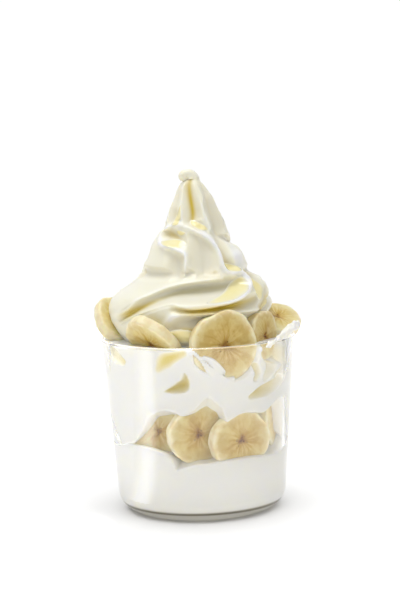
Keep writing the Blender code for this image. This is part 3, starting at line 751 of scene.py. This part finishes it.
# Behind: azimuths, distance, height, half size and tips, which vary by small steps
LOWER_BACK = ((121, 160, 198, 237), 28.0, 38.5, 13.3, (0,))
RIM_BACK = ((135, 173, 211), 30.9, 81.5, 14.2, (-10, 6))
BACK_TURN = 24  # how far each slice behind is turned, so that its edge passes behind the next
BACK_SOAKED = 0.2
SIZE_STEP = 0.5
HEIGHT_STEP = 1.0
SLICE_THICKNESS = 5.0 * MM
SLICE_EDGE = 1.0 * MM
LOBES = 0.035
FACE_RINGS, EDGE_RINGS = 22, 6


def slices_behind(azimuths, distance, height, half_size, tips):
    """Rows for the slices round the back, like those in front."""
    rows = []
    for index, azimuth in enumerate(azimuths):
        size = half_size - SIZE_STEP * (index % 3)
        level = height + HEIGHT_STEP * (index % 2)
        tip = tips[index % len(tips)]
        rows.append((azimuth, distance, level, azimuth + BACK_TURN, tip, size, size, BACK_SOAKED))
    return rows


LOWER_SLICES += slices_behind(*LOWER_BACK)
RIM_SLICES += slices_behind(*RIM_BACK)


def slice_axes(row):
    """Middle of a slice, and its own X, depth and Z directions, as rows: it faces along its depth."""
    azimuth, distance, height, facing, tip = row[:5]
    turn = Matrix.Rotation(math.radians(facing), 3, "Z") @ Matrix.Rotation(-math.radians(tip), 3, "X")
    axes = np.array(turn).T
    return around_axis(distance * MM, math.radians(azimuth), height * MM), axes[0], -axes[1], axes[2]


def outline_of(angles, row, seed):
    """Outline radius: an ellipse with three and five soft lobes and small bumps, each a cosine round it."""
    half_width, half_height = row[5] * MM, row[6] * MM
    ellipse = 1 / np.sqrt((np.sin(angles) / half_width) ** 2 + (np.cos(angles) / half_height) ** 2)
    from_x = angles - math.pi / 2
    lobes = np.cos(3 * from_x + seed) + 0.6 * np.cos(5 * from_x + 2 * seed)
    bumps = 0.22 * np.cos(9 * angles + 5 * seed) + 0.18 * np.cos(14 * angles + 3 * seed)
    return ellipse * (1 + LOBES * (lobes + bumps))


def banana_slice(name, row, seed):
    """A lobed disc: rings from the middle of its back over the edge to the middle of its face."""
    columns = 132
    angles = np.arange(columns) * 2 * math.pi / columns
    rim = outline_of(angles, row, seed)
    across = np.linspace(0.06, 0.97, FACE_RINGS)
    bend = np.radians(np.linspace(0, 90, EDGE_RINGS))
    share = np.concatenate([across, np.ones(EDGE_RINGS)])
    inset = np.concatenate([0 * across, SLICE_EDGE * (1 - np.sin(bend))])
    depth = np.concatenate([0 * across, SLICE_EDGE * (1 - np.cos(bend))]) - SLICE_THICKNESS / 2
    on_edge = np.arange(len(share)) >= FACE_RINGS
    # The half in front mirrors the half behind.
    share, inset, on_edge = (np.concatenate([half, half[::-1]])[:, None] for half in (share, inset, on_edge))
    depth = np.concatenate([depth, -depth[::-1]])[:, None]
    radius = np.where(on_edge, rim - inset, share * (rim - SLICE_EDGE))
    part = radius / rim
    # The cut face dips at the heart and swells between its three seams by a few tenths of a millimetre.
    seams = np.cos(3 * angles + seed)
    relief = 0.25 * MM * np.sin(math.pi * np.clip(part, 0, 1)) * (0.5 + 0.5 * seams)
    relief = relief - 0.5 * MM * bell(part, 0.16)
    chip = 0.12 * MM * np.sin(5 * angles + 3 * seed) * np.sin(9 * part + seed)
    depth = depth + np.sign(depth) * np.where(on_edge, 0, relief + chip)
    middle, x_axis, ahead, z_axis = slice_axes(row)
    flat_x, flat_z = radius * np.sin(angles), -radius * np.cos(angles)
    points = middle + flat_x[:, :, None] * x_axis + flat_z[:, :, None] * z_axis + depth[:, :, None] * ahead
    poles = [middle + side * ahead for side in (depth[0].mean(), depth[-1].mean())]
    made = closed_mesh(name, points, *poles, banana, {
        "cut": np.stack([flat_x / rim, depth / (SLICE_THICKNESS / 2), flat_z / rim], axis=2),
        "star": part * (1 - 0.35 * seams * bell(part, 0.45)),
        "soaked": np.full(part.shape, row[7]),
    })
    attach(made, "root")
    return made


# %% The slices
RIM_SEED = 20  # sets the outlines of the rim's slices apart from those of the lower ones
for layer, rows_of, first_seed in (("lower", LOWER_SLICES, 0), ("rim", RIM_SLICES, RIM_SEED)):
    for index, row in enumerate(rows_of):
        made = banana_slice(f"{layer}_banana_{index + 1}", row, index + first_seed)
        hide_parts(f"{layer}_slice_{index + 1}")

# %% [markdown]
# ## The two layers of yogurt
#
# Each layer is pressed against the glass, where it shows flat and white, and has an uneven edge that
# the spoon left. The lower one fills the bottom of the glass. The upper one sits on the slices, runs
# down between them in the middle, and draws back from the glass where slices, folds and air pockets are.

# %% Edges of the layers
LOWER_EDGE = [  # azimuth, height
    (-150, 28.5), (-110, 31.0), (-85, 31.5), (-66, 31.5), (-57, 33.0), (-43, 33.3), (-31, 32.6),
    (-23, 30.8), (-19, 28.2), (-16.8, 24.2), (-12.7, 24.9), (-4, 26.6), (4, 26.8), (14, 27.6), (26, 27.7),
    (41, 27.5), (58, 26.8), (72, 29.0), (82, 32.0), (100, 32.0), (118, 29.0), (150, 27.8), (180, 29.4),
]
UPPER_EDGE = [  # azimuth, height
    (-150, 46.0), (-134, 42.0), (-122, 32.5), (-104, 31.0), (-82, 31.5), (-66, 31.6), (-58, 33.4),
    (-48, 35.2), (-40, 41.0), (-34.7, 47.4), (-29, 49.5), (-23, 51.0), (-15.4, 50.0), (-11.9, 48.8),
    (-3.6, 51.3), (2.5, 55.3), (5.5, 56.6), (9, 54.2), (13.2, 51.6), (15.2, 47.4), (17, 45.4),
    (19.3, 46.2), (25.7, 48.2), (33, 48.5), (44, 47.4), (55, 51.0), (64, 51.8), (68, 49.5), (71.5, 38.0),
    (75, 32.0), (100, 31.5), (120, 31.5), (132, 44.0), (150, 48.0), (180, 45.5),
]
EDGE_BEND = 1.3 * MM  # radius of the rounded edge that a layer has on the glass
EDGE_FLAT = 0.6  # how high the lower layer's edge stands, as a part of EDGE_BEND
columns = 330
turns = np.arange(columns) * 2 * math.pi / columns


def filling(profile):
    """A closed skin round the axis from rows of (radius, height), each given for every azimuth."""
    points = np.stack([around_axis(radius, turns, height) for radius, height in profile])
    return points, [(0, 0, points[end, :, 2].mean()) for end in (0, -1)]


# %% Lower layer
LOWER_MIDDLE = 28.6 * MM  # its height near the axis
OUTERMOST, INNERMOST = 0.96, 0.1  # the first and last ring of its top, as parts of the radius
PAINTED_FOOT_SHADE = (0.3, 0.5, 0.9, 1.0, 0.9, 0.3)  # how dark the painted shade on each of its lowest rings is
edge = round_the_cup(LOWER_EDGE, np.degrees(turns)) * MM
profile = list(corner(inner_radius, FLOOR, INNER_CORNER, 10, INTO_WALL))
base = profile[-1][1]
for part in np.linspace(0.05, 1, 16):
    z = base + (edge - base) * part
    profile.append((inner_radius(z) + INTO_WALL, z))
for bend in np.radians((20, 40, 60, 80)):
    rounded_off = EDGE_BEND * (1 - math.cos(bend))
    rise = EDGE_FLAT * EDGE_BEND * math.sin(bend)
    profile.append((inner_radius(edge) + INTO_WALL - rounded_off, edge + rise))
for part in np.linspace(OUTERMOST, INNERMOST, 16):
    # Inwards the top falls from the edge to the middle's height, with soft swells.
    swell = 0.7 * MM * np.sin(3 * turns + 9 * part) * (1 - part) + 0.5 * MM * np.sin(7 * turns + 4 * part)
    fall = ((part - INNERMOST) / (OUTERMOST - INNERMOST)) ** 3
    level = LOWER_MIDDLE + (edge + EDGE_FLAT * EDGE_BEND - LOWER_MIDDLE) * fall
    profile.append((inner_radius(edge) * part, level + swell * np.sin(math.pi * part)))
rings, poles = filling(profile)
# Painted shade: the lowest rings are painted dark for the dark line that the layer's foot shows, seen edge-on
# through the thick glass floor.
seam = np.zeros(rings.shape[:2])
seam[: len(PAINTED_FOOT_SHADE)] = np.array(PAINTED_FOOT_SHADE)[:, None]
lower = closed_mesh("lower_yogurt_layer", rings, *poles, thick_yogurt, {"seam": seam})
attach(lower, "root")
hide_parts("lower_yogurt")

# %% Where the upper layer draws back
POCKETS = [  # azimuth, height, depth, half width, depth of painted amber shade
    [(-20, 60.0, 2.0, 0.8, 1.0), (-14.5, 60.9, 6.0, 2.1, 1.0), (-10, 62.4, 6.0, 3.1, 0.8),
     (-8.6, 65, 5.0, 1.8, 0.4), (-8.6, 67.6, 2.0, 0.7, 0.2)],
    [(33, 55.6, 2.0, 1.4, 0.4), (41, 57.2, 5.0, 2.8, 0.7), (50, 58.6, 5.0, 3.0, 0.4),
     (61, 61.3, 3.0, 2.0, 0.2)],
    [(44, 74, 4.0, 3.0, 0.1), (49, 71, 5.0, 4.5, 0.2), (48.5, 67, 4.0, 3.5, 0.1), (44, 63, 2.0, 2.0, 0.0)],
    [(64, 76, 4.0, 4.0, 0.2), (66, 70, 5.0, 4.5, 0.3), (62, 65, 4.0, 3.0, 0.2), (54, 63.2, 2.0, 1.5, 0.1)],
    [(36, 69, 3.0, 1.6, 0.5), (37.5, 66, 3.5, 1.8, 0.4), (36, 63, 2.0, 1.2, 0.2)],
    [(-9, 76.5, 0.4, 1.8, 0.7), (-15, 75.0, 0.8, 2.8, 1.0), (-20.5, 73.0, 1.0, 3.8, 1.0),
     (-24.5, 69.5, 0.5, 1.8, 0.6)],
    [(-64, 76, 0.4, 3.5, 0.6), (-58, 73.5, 0.8, 3.6, 0.6), (-51, 71.5, 1.2, 1.8, 0.8)],
    [(-80, 45, 0.5, 0.8, 0.4), (-74, 40, 0.9, 1.1, 0.6), (-69, 36, 0.9, 1.2, 0.6),
     (-64, 33.4, 0.4, 0.8, 0.4)],
    [(-68, 77, 0.3, 1.2, 0.4), (-68.5, 70, 0.3, 1.2, 0.4), (-68, 66, 0.1, 0.8, 0.2)],
    [(118, 60, 3.0, 2.5, 0.5), (126, 62, 5.0, 3.0, 0.6), (138, 61, 3.0, 2.0, 0.4)],
    [(205, 66, 3.0, 2.0, 0.5), (214, 64, 5.0, 3.0, 0.7), (220, 61, 3.0, 2.0, 0.4)],
]
SMEARS = [  # azimuth, height, half width of the yogurt that lies over the front slice
    [(-4, 78, 0.8), (1.5, 73.4, 0.9), (6, 69.2, 1.3), (12, 65.6, 1.3), (18, 64.0, 0.9), (22, 64.6, 0.5)],
    [(3, 74.6, 0.6), (7.5, 72.6, 1.2), (11, 69.8, 1.6), (14.5, 67.6, 1.2)],
]
WALL_REACH = 12 * MM
CLEARANCE = 0.02  # how far past a slice's outline the yogurt stays back, as a part of its radius
SOFT_EDGE = 0.12  # over how much of that radius it comes back to the glass
SMEAR_FADE = 0.5  # over how much of its half width a smear fades out
MOST_TIPPED = 30  # degrees: only slices nearer to upright press the yogurt away from the glass


def on_wall(line):
    """A line as points on the inner face of the glass, with its other values."""
    azimuths, heights, values = read_line(line)
    return around_axis(inner_radius(heights), azimuths, heights), values


def under_smears(places):
    """1 within a smear's half width, fading to 0 over a SMEAR_FADE of it beyond."""
    cover = np.zeros(len(places))
    for smear in SMEARS:
        distance, value = nearest_on_line(places, *on_wall(smear), WALL_REACH)
        share = distance / np.maximum(value[:, 0] * MM, NARROWEST)
        cover = np.maximum(cover, np.clip(1 + SMEAR_FADE - share, 0, SMEAR_FADE) / SMEAR_FADE)
    return cover


def draw_back(radius, azimuths, heights, slices):
    """Bring a wall radius in to the middle plane of each slice, inside the slice's outline.

    A level line from the axis meets the plane where its length times towards, its share along the
    slice's depth, makes up the plane's distance. Under a smear the yogurt stays against the glass.
    """
    places = around_axis(radius, azimuths, heights)
    bared = 1 - under_smears(places.reshape(-1, 3)).reshape(radius.shape)
    outwards = np.stack([np.sin(azimuths), -np.cos(azimuths)], axis=-1)
    result = radius
    for seed, row in slices:
        middle, x_axis, ahead, z_axis = slice_axes(row)
        towards = outwards @ ahead[:2]
        to_plane = (middle @ ahead - heights * ahead[2]) / np.where(abs(towards) < 0.2, 0.2, towards)
        on_plane = around_axis(to_plane, azimuths, heights) - middle
        x, z = on_plane @ x_axis, on_plane @ z_axis
        over = np.hypot(x, z) / outline_of(np.arctan2(x, -z), row, seed)
        inside = np.clip((1.0 + CLEARANCE - over) / SOFT_EDGE, 0, 1)
        inside = inside * (to_plane > 0) * (to_plane < radius) * (abs(towards) > 0.25)
        eased_in = inside * inside * (3 - 2 * inside) * bared
        result = np.minimum(result, radius + (to_plane - radius) * eased_in)
    return result


# %% Upper layer
# A plug in the middle runs down between the slices. From it the underside runs out to the edge on the
# glass, starting at the height of ROOF.
UPPER_TOP = 77.6 * MM
UPPER_SWELL = 1.2 * MM  # how far its middle stands above its rim
PLUG_RADIUS, PLUG_FLOOR, ROOF = 21 * MM, 30.5 * MM, 43 * MM
edge = round_the_cup(UPPER_EDGE, np.degrees(turns)) * MM
profile = [(PLUG_RADIUS * part, PLUG_FLOOR) for part in (0.3, 0.7, 0.95)]
profile += [(PLUG_RADIUS, PLUG_FLOOR + 0.4 * MM + 12 * MM * part) for part in (0, 0.5, 1)]
for part in (0.25, 0.5, 0.75, 0.9):
    run = inner_radius(edge) - PLUG_RADIUS - EDGE_BEND
    profile.append((PLUG_RADIUS + run * part, ROOF + (edge - ROOF) * part))
for bend in np.radians((10, 30, 50, 70, 90)):
    rounded_off = EDGE_BEND * (1 - math.sin(bend))
    profile.append((inner_radius(edge) + INTO_WALL - rounded_off, edge + EDGE_BEND * (1 - math.cos(bend))))
first_wall = len(profile)
for part in np.linspace(0, 1, 90)[1:]:
    z = edge + EDGE_BEND + (UPPER_TOP - edge - EDGE_BEND) * part
    profile.append((inner_radius(z) + INTO_WALL, z))
band = slice(first_wall - 3, len(profile))
for part in np.linspace(0.98, 0.1, 14):
    profile.append((inner_radius(UPPER_TOP) * part, UPPER_TOP + UPPER_SWELL * math.sqrt(1 - part**2)))
rings, poles = filling(profile)
wall = rings[band]
azimuths = np.broadcast_to(turns, wall.shape[:2])
radius = np.hypot(wall[:, :, 0], wall[:, :, 1])
heights = wall[:, :, 2]
places = wall.reshape(-1, 3)
hollow = np.zeros(len(places))
colour = np.zeros(len(places))
for pocket in POCKETS:
    # A pocket is depth (1 - (d/w)**2), with d the distance from its middle line and w its half width.
    distance, value = nearest_on_line(places, *on_wall(pocket), WALL_REACH)
    share = np.clip(distance / np.maximum(value[:, 1] * MM, NARROWEST), 0, 1)
    hollow = np.maximum(hollow, value[:, 0] * MM * (1 - share**2))
    # Painted amber shade at the bottom of each pocket.
    colour = np.maximum(colour, value[:, 2] * (1 - share**2))
hollow = hollow.reshape(radius.shape)
upright = [(index + RIM_SEED, row) for index, row in enumerate(RIM_SLICES) if abs(row[4]) < MOST_TIPPED]
rings[band] = around_axis(draw_back(radius - hollow, azimuths, heights, upright), azimuths, heights)
marks = np.zeros(rings.shape[:2])
marks[band] = colour.reshape(radius.shape)
# A pocket's depth becomes its relief, which gives it painted shade.
relief = np.zeros(rings.shape[:2])
relief[band] = -hollow / MM
upper = closed_mesh("upper_yogurt_layer", rings, *poles, thick_yogurt, {"hollow": marks, "relief": relief})
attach(upper, "root")
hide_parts("upper_yogurt")

# %% [markdown]
# ## Honey in the hollows and dabs on the rim
#
# Thin honey has run down the swirl and stands in its hollows, pale and shiny. Each pool is a flat bead
# along a short line on the swirl, so it follows every dip. Two last dabs of yogurt cling to the rim.

# %% Honey material
honey, tree, output = new_material("thin acacia honey")
# A millimetre of pale honey over white yogurt reads as glossy, clear yellow, and fades where it thins.
spot = add(tree, "ShaderNodeTexCoord").outputs["Object"]
pale = mixed(tree, noise(tree, spot, 5 * MM, 1.0)["Fac"], linear("#FAF2C6"), linear("#F4E59C"))
fading = eased(tree, marked(tree, "depth"), 0.05, 0.75, interpolation_type="SMOOTHSTEP")
finished(tree, output, {
    "Base Color": mixed(tree, fading, linear("#FAF6E4"), pale), "Roughness": 0.12, "IOR": 1.49,
    "Subsurface Weight": 0.4, "Subsurface Radius": (1.0, 0.95, 0.8), "Subsurface Scale": 0.5 * MM,
})

# %% Honey pools
POOLS = [  # azimuth, height, half width
    [(-35, 138.5, 0.3), (-37, 136, 1.3), (-40, 133.4, 2.5), (-41, 131.4, 2.8), (-36, 130.4, 1.4),
     (-31, 130.0, 0.3)],
    [(-9, 131.5, 0.3), (-5, 130.6, 1.2), (7, 129.2, 1.6), (18, 128.0, 1.3), (24, 127.4, 0.3)],
    [(-52, 122.6, 0.3), (-44, 122.2, 1.2), (-33, 121.8, 1.8), (-22, 121.4, 1.8), (-12, 121.4, 0.3)],
    [(-36, 126.8, 0.3), (-30, 126.4, 1.2), (-23, 126.0, 1.2), (-15, 126.2, 0.3)],
    [(33, 112.4, 0.3), (36, 111.4, 1.4), (42, 110.6, 1.8), (49, 110.0, 1.3), (54, 109.6, 0.3)],
    [(7, 97.2, 0.3), (13, 97.6, 0.9), (20, 98.4, 1.3), (28, 99.6, 1.8), (36, 101.6, 2.2),
     (43, 103.6, 2.2), (47, 105.4, 1.5), (49, 106.6, 0.3)],
    [(67, 105.6, 0.4), (66, 103.4, 2.2), (65, 100.6, 3.4), (62, 97.6, 3.4), (60, 95.4, 0.6)],
    [(-27, 81.8, 0.3), (-21, 82.6, 2.6), (-12, 82.8, 3.4), (-4, 82.4, 2.8), (3, 81.6, 0.3)],
    [(121, 122, 0.3), (124, 120, 1.6), (130, 117.5, 1.8), (134, 115.5, 0.3)],
    [(196, 101, 0.3), (206, 102.4, 2.0), (214, 103.6, 2.2), (222, 105, 0.3)],
]
LOWEST_POOL = 7  # its place in the list; it stands just behind the rim
POOL_DEPTH = 0.4 * MM
POOL_SINK = 0.6 * MM  # how far a pool's underside lies below the swirl's surface
POOL_DIP = 0.05 * MM  # how far the whole pool is let into the surface
FULL_WIDTH = 1.5 * MM  # a pool with less half width than this is shallower


def swirl_at(azimuths, heights):
    """The swirl's radius between its grid points, by linear steps round and along."""
    rows, columns = swirl_radius.shape
    across = azimuths % (2 * math.pi) / (2 * math.pi) * columns
    along = np.clip((heights - low) / (high - low) * (rows - 1), 0, rows - 1.001)
    i, j = along.astype(int), across.astype(int) % columns
    v, u = along - i, across - across.astype(int)
    beside = (j + 1) % columns
    lower = swirl_radius[i, j] * (1 - u) + swirl_radius[i, beside] * u
    upper = swirl_radius[i + 1, j] * (1 - u) + swirl_radius[i + 1, beside] * u
    return lower * (1 - v) + upper * v


def honey_pool(name, line):
    """A flat bead: a ring at each place on the line, w cos(t) across and depth sin(t)**2 out of the swirl."""
    steps, columns = 36, 20
    read = smooth_through(line, np.linspace(0, len(line) - 1, steps))
    azimuth, height = np.radians(read[:, :1]), read[:, 1:2] * MM
    radius = swirl_at(azimuth, height)
    run = np.stack([np.gradient(azimuth[:, 0]) * radius[:, 0], np.gradient(height[:, 0])], axis=1)
    run /= np.linalg.norm(run, axis=1, keepdims=True)
    angles = np.arange(columns) * 2 * math.pi / columns
    width = np.maximum(read[:, 2:3] * MM, NARROWEST)
    aside = width * np.cos(angles)
    out = np.where(np.sin(angles) > 0, POOL_DEPTH * np.sin(angles) ** 2, POOL_SINK * np.sin(angles))
    out = out * np.clip(width / FULL_WIDTH, 0.2, 1) - POOL_DIP
    azimuths = azimuth - aside * run[:, 1:2] / radius
    heights = height + aside * run[:, 0:1]
    points = around_axis(swirl_at(azimuths, heights) + out, azimuths, heights)
    ends = points[0].mean(axis=0), points[-1].mean(axis=0)
    taper = np.sin(math.pi * np.linspace(0, 1, steps))[:, None]
    deep = np.sin(angles) ** 2 * np.sqrt(taper)
    made = closed_mesh(name, points[:, ::-1], *ends, honey, {"depth": deep[:, ::-1]})
    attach(made, "root")
    return made


pools = [honey_pool(f"honey_pool_{number}", pool) for number, pool in enumerate(POOLS, 1)]

# %% Dabs on the rim
DABS = [  # azimuth, distance, height, radius
    [(49.3, 43.7, 78.4, 0.3), (52, 43.9, 79.2, 0.9), (55.5, 44.3, 80.2, 1.4), (61.9, 44.7, 81.8, 1.7),
     (67.9, 45.3, 82.9, 1.9), (72.5, 46.0, 83.8, 1.7), (75, 46.4, 84.6, 0.8), (75.6, 46.5, 84.9, 0.3)],
    [(42, 43.8, 76.9, 0.2), (43.4, 44.0, 77.2, 0.8), (46, 43.9, 78.0, 1.1), (49, 43.9, 78.6, 0.7),
     (50, 43.8, 78.8, 0.2)],
]
DAB_RINGS, DAB_SIDES = 60, 36


def unit(vectors):
    """Vectors made one long."""
    return vectors / np.linalg.norm(vectors, axis=1, keepdims=True)


def yogurt_dab(name, line):
    """A lumpy sausage along a line: a ring round each place on it, swelled by three slow waves."""
    read = smooth_through(line, np.linspace(0, len(line) - 1, DAB_RINGS))
    centre = around_axis(read[:, 1] * MM, np.radians(read[:, 0]), read[:, 2] * MM)
    ahead = unit(np.gradient(centre, axis=0))
    side = unit(np.cross(ahead, [0, 0, 1.0]))
    over = np.cross(side, ahead)
    angles = np.arange(DAB_SIDES) * 2 * math.pi / DAB_SIDES
    along = np.arange(DAB_RINGS)[:, None]
    lumps = 1 + 0.16 * np.sin(3 * angles + 0.25 * along) + 0.12 * np.sin(4 * angles - 0.6 * along)
    thick = np.maximum(read[:, 3:4] * MM, NARROWEST) * (lumps + 0.12 * np.sin(0.7 * along))
    x, y = (thick * np.cos(angles))[:, :, None], (thick * np.sin(angles))[:, :, None]
    points = centre[:, None] + x * side[:, None] + y * over[:, None]
    dab = closed_mesh(name, points, centre[0], centre[-1], thick_yogurt)
    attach(dab, "root")


for number, line in enumerate(DABS, 1):
    yogurt_dab(f"yogurt_dab_{number}", line)

# %% [markdown]
# ## Which lamp lights what
#
# White food behind glass is easily burnt out or left grey. So the low box in front lights only the two
# layers and the honey just behind the rim, and the left softbox passes the layers over. The table has
# its own light from straight above, so that the cup's shadow on it is even all round.

# %% Light linking
def link_light(lamp, name, pieces, state):
    """Let a lamp light only these pieces (INCLUDE), or everything but them (EXCLUDE)."""
    receivers = bpy.data.collections.new(name)
    for piece in pieces:
        receivers.objects.link(piece)
    for linked in receivers.collection_objects:
        linked.light_linking.link_state = state
    lamp.light_linking.receiver_collection = receivers


link_light(overhead, "lit by the overhead light", [table], "INCLUDE")
link_light(low_box, "lit by the low front softbox", [lower, upper, pools[LOWEST_POOL]], "INCLUDE")
link_light(left_box, "passed over by the left softbox", [lower, upper, table], "EXCLUDE")
link_light(top_box, "passed over by the top softbox", [table], "EXCLUDE")
